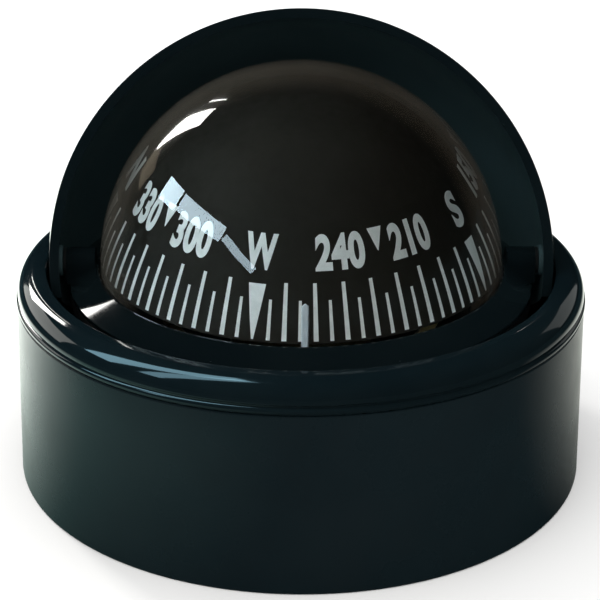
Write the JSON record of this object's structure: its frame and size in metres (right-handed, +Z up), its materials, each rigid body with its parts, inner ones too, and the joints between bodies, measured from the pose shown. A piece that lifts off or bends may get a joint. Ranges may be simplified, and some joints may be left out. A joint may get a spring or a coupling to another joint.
{
  "type": "binnacle compass",
  "caption": "Dome compass on a round deck base, with a gimballed drum card, a cowl ring, a clear dome and a spherical hood that tilts over it.",
  "frame": {"origin": "centre of the base's underside, on the deck", "axes": "+Z up through the globe's centre, -Y towards the helmsman, +X to starboard"},
  "size_m": [0.1106, 0.1106, 0.0883],
  "materials": {
    "housing": "satin black moulded plastic",
    "plate_plastic": "black moulded plastic with a fine grain",
    "gloss_black": "polished black moulded plastic",
    "dome_clear": "clear polished acrylic",
    "rubber": "black rubber",
    "brass": "turned brass",
    "steel": "stainless steel",
    "inner_plastic": "black moulded plastic",
    "card_black": "matt black card with off-white marks",
    "lubber_white": "bluish white plastic",
    "jewel": "polished synthetic ruby",
    "magnet": "dark magnet alloy",
    "lamp_red": "red night lamp lens"
  },
  "bodies": {
    "base": {"base_housing": "housing", "base_plate": "plate_plastic", "plate_screws": "steel", "base_gasket": "rubber", "hood_stops": "rubber", "cowl_ring": "gloss_black", "cowl_screws": "steel", "hood_washers": "inner_plastic", "bowl": "inner_plastic", "bowl_cradle": "inner_plastic", "cradle_screws": "steel", "bowl_screws": "steel", "dome": "dome_clear", "dome_seal": "rubber", "dome_clamp_ring": "gloss_black", "clamp_screws": "steel", "diaphragm": "rubber", "diaphragm_plate": "steel", "diaphragm_screws": "steel", "filler_plug": "steel", "filler_seal": "rubber", "lubber_post": "lubber_white", "gimbal_bracket": "brass", "bracket_screws": "steel", "compensator_block": "inner_plastic", "lamp_holder": "inner_plastic", "lamp": "lamp_red", "cable_grommet": "rubber"},
    "hood": {"hood": "gloss_black", "hood_pivot_pins": "steel"},
    "roll_ring": {"gimbal_ring": "brass", "gimbal_pins": "steel"},
    "pitch_frame": {"card_frame": "brass", "counterweight": "brass", "pivot_post": "steel", "post_nut": "steel"},
    "card": {"compass_card": "card_black", "card_hub": "card_black", "jewel_cup": "jewel", "card_float": "card_black", "card_magnets": "magnet"},
    "ns_corrector": {"ns_shaft": "brass", "ns_magnets": "magnet"},
    "ew_corrector": {"ew_shaft": "brass", "ew_magnets": "magnet"}
  },
  "joints": [
    {"name": "hood_tilt", "type": "hinge", "parent": "base", "child": "hood", "pos_m": [0, 0, 0.041], "axis": [1, 0, 0], "range_deg": [0, 110]},
    {"name": "gimbal_roll", "type": "hinge", "parent": "base", "child": "roll_ring", "pos_m": [0, 0, 0.041], "axis": [0, 1, 0], "range_deg": [-30, 30]},
    {"name": "gimbal_pitch", "type": "hinge", "parent": "roll_ring", "child": "pitch_frame", "pos_m": [0, 0, 0.041], "axis": [1, 0, 0], "range_deg": [-30, 30]},
    {"name": "card_turn", "type": "hinge", "parent": "pitch_frame", "child": "card", "pos_m": [0, 0, 0.0502], "axis": [0, 0, 1], "continuous": true},
    {"name": "ns_corrector_turn", "type": "hinge", "parent": "base", "child": "ns_corrector", "pos_m": [0, 0, 0.0074], "axis": [0, 1, 0], "continuous": true},
    {"name": "ew_corrector_turn", "type": "hinge", "parent": "base", "child": "ew_corrector", "pos_m": [0, 0, 0.0045], "axis": [1, 0, 0], "continuous": true}
  ]
}
